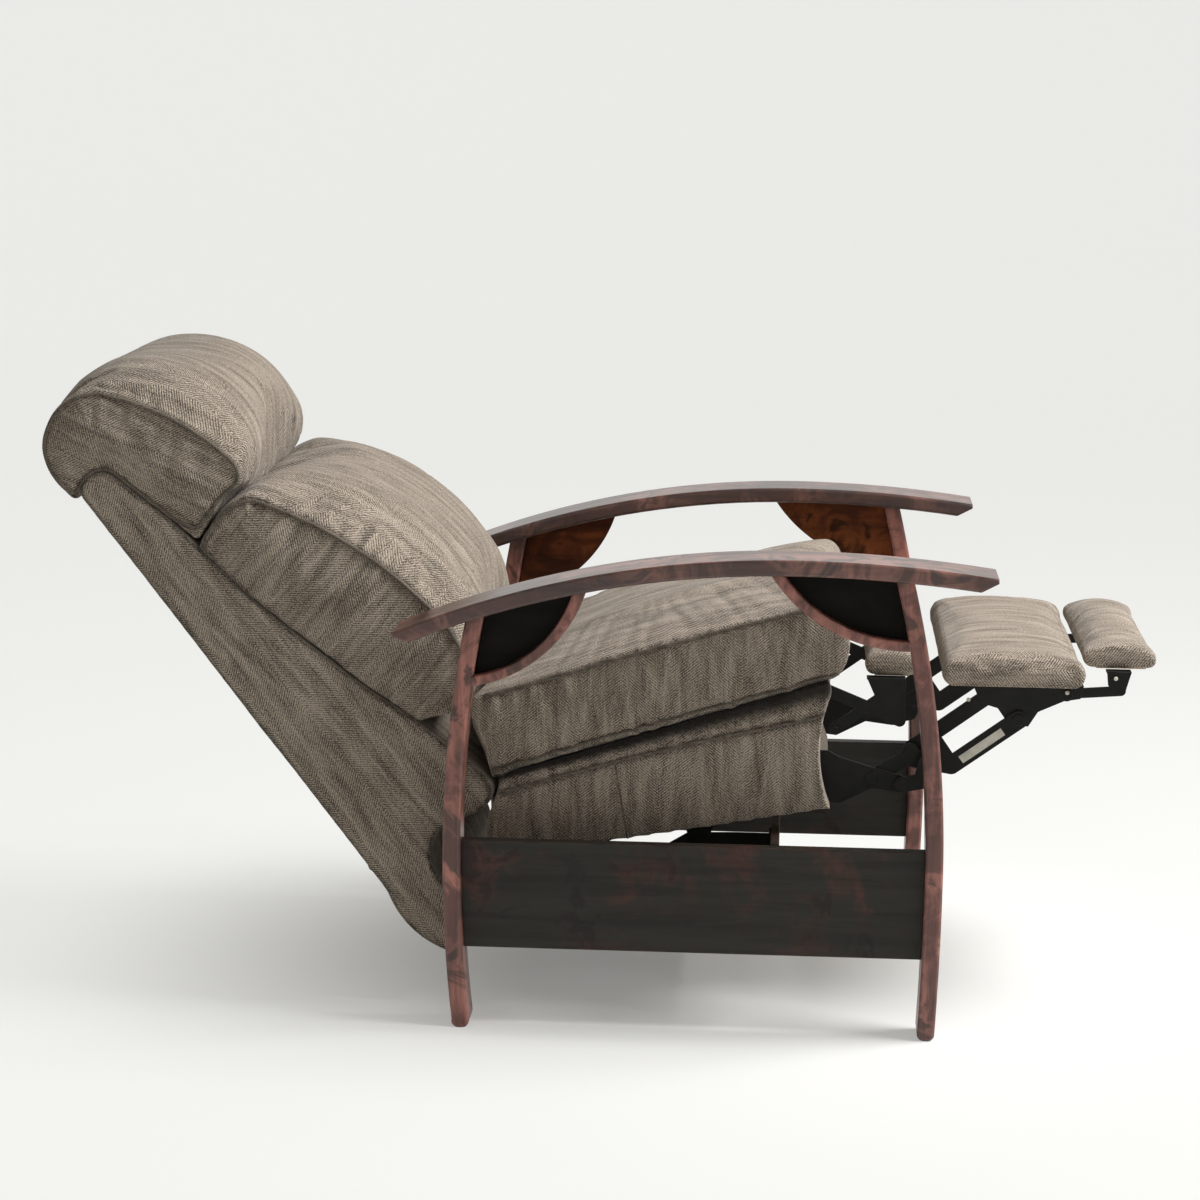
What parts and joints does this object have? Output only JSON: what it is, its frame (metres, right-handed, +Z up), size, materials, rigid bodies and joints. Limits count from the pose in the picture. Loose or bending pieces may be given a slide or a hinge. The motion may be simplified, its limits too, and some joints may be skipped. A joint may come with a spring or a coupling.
{
  "type": "barrel recliner",
  "caption": "Reclining armchair with bow-shaped wooden arms and legs, padded back with head cushion, and an upholstered footrest on steel links.",
  "frame": {"origin": "centre of the footprint of the chair as pictured, on the floor", "axes": "+Z up; the sitter faces -Y, so the footrest is at -Y and the head cushion at +Y; the sitter's right is -X"},
  "size_m": [0.792, 1.5535, 0.8931],
  "materials": {
    "arm_wood": "satin",
    "frame_wood": "satin",
    "dark_wood": "satin",
    "plain_wood": "matte",
    "fabric": "matte",
    "webbing": "matte",
    "black_steel": "satin"
  },
  "bodies": {
    "frame": {"right_arm": "arm_wood", "left_arm": "arm_wood", "right_front_leg": "frame_wood", "left_front_leg": "frame_wood", "right_rear_leg": "frame_wood", "left_rear_leg": "frame_wood", "right_side_rail": "dark_wood", "left_side_rail": "dark_wood", "right_front_corbel": "dark_wood", "left_front_corbel": "dark_wood", "right_front_moulding": "frame_wood", "left_front_moulding": "frame_wood", "right_rear_corbel": "dark_wood", "left_rear_corbel": "dark_wood", "right_rear_moulding": "frame_wood", "left_rear_moulding": "frame_wood", "right_base_plate": "black_steel", "left_base_plate": "black_steel", "front_stretcher": "dark_wood", "rear_stretcher": "dark_wood", "rail_dowels": "plain_wood", "base_bolts": "black_steel"},
    "seat": {"right_seat_plate": "black_steel", "left_seat_plate": "black_steel", "right_seat_board": "plain_wood", "left_seat_board": "plain_wood", "front_seat_board": "plain_wood", "rear_seat_board": "plain_wood", "seat_webbing": "webbing", "seat_box_cover": "fabric", "seat_cushion": "fabric", "seat_pins": "black_steel"},
    "back": {"right_back_stile": "plain_wood", "left_back_stile": "plain_wood", "right_back_bracket": "black_steel", "left_back_bracket": "black_steel", "back_bolts": "black_steel", "lower_back_rail": "plain_wood", "top_back_rail": "plain_wood", "back_webbing": "webbing", "back_cover": "fabric", "back_cushion": "fabric", "head_cushion": "fabric"},
    "rear_links": {"right_rear_link": "black_steel", "left_rear_link": "black_steel"},
    "front_links": {"front_links": "black_steel"},
    "long_links": {"right_long_link": "black_steel", "left_long_link": "black_steel", "long_link_rivets": "black_steel"},
    "upper_links": {"upper_links": "black_steel"},
    "footrest": {"right_footrest_bracket": "black_steel", "left_footrest_bracket": "black_steel", "footrest_pad": "fabric", "footrest_board": "plain_wood"},
    "flipper": {"flipper_brackets": "black_steel", "flipper_pad": "fabric", "flipper_board": "plain_wood"},
    "bridge": {"bridge_brackets": "black_steel", "bridge_pad": "fabric", "bridge_board": "plain_wood"}
  },
  "joints": [
    {"name": "seat_tilt", "type": "hinge", "parent": "frame", "child": "seat", "pos_m": [0, -0.143, 0.235], "axis": [1, 0, 0], "range_deg": [0, 9.01]},
    {"name": "back_recline", "type": "hinge", "parent": "seat", "child": "back", "pos_m": [0, 0.125, 0.3], "axis": [1, 0, 0], "range_deg": [0, 16]},
    {"name": "footrest_fold", "type": "hinge", "parent": "seat", "child": "front_links", "pos_m": [0, -0.424, 0.325], "axis": [-1, 0, 0], "range_deg": [0, 85]},
    {"name": "rear_link_pivot", "type": "hinge", "parent": "seat", "child": "rear_links", "pos_m": [0, -0.383, 0.333], "axis": [-1, 0, 0], "range_deg": [0, 35.11]},
    {"name": "long_link_pivot", "type": "hinge", "parent": "rear_links", "child": "long_links", "pos_m": [0, -0.4325, 0.3619], "axis": [1, 0, 0], "range_deg": [0, 145.21]},
    {"name": "footrest_pivot", "type": "hinge", "parent": "long_links", "child": "footrest", "pos_m": [0, -0.584, 0.4186], "axis": [-1, 0, 0], "range_deg": [0, 24.11]},
    {"name": "upper_link_pivot", "type": "hinge", "parent": "footrest", "child": "upper_links", "pos_m": [0, -0.5404, 0.4493], "axis": [1, 0, 0], "range_deg": [0, 26.41]},
    {"name": "flipper_pivot", "type": "hinge", "parent": "footrest", "child": "flipper", "pos_m": [0, -0.65, 0.455], "axis": [1, 0, 0], "range_deg": [0, 180.01]},
    {"name": "bridge_pivot", "type": "hinge", "parent": "seat", "child": "bridge", "pos_m": [0, -0.308, 0.455], "axis": [1, 0, 0], "range_deg": [0, 75.01]}
  ],
  "couplings": [
    {"joint": "seat_tilt", "follows": "back_recline", "ratio": 0.5625},
    {"joint": "rear_link_pivot", "follows": "footrest_fold", "ratio": 0.41294},
    {"joint": "long_link_pivot", "follows": "footrest_fold", "ratio": 1.7082},
    {"joint": "footrest_pivot", "follows": "footrest_fold", "ratio": 0.28353},
    {"joint": "upper_link_pivot", "follows": "footrest_fold", "ratio": 0.31059},
    {"joint": "flipper_pivot", "follows": "footrest_fold", "ratio": 2.1176},
    {"joint": "bridge_pivot", "follows": "footrest_fold", "ratio": 0.88235}
  ]
}
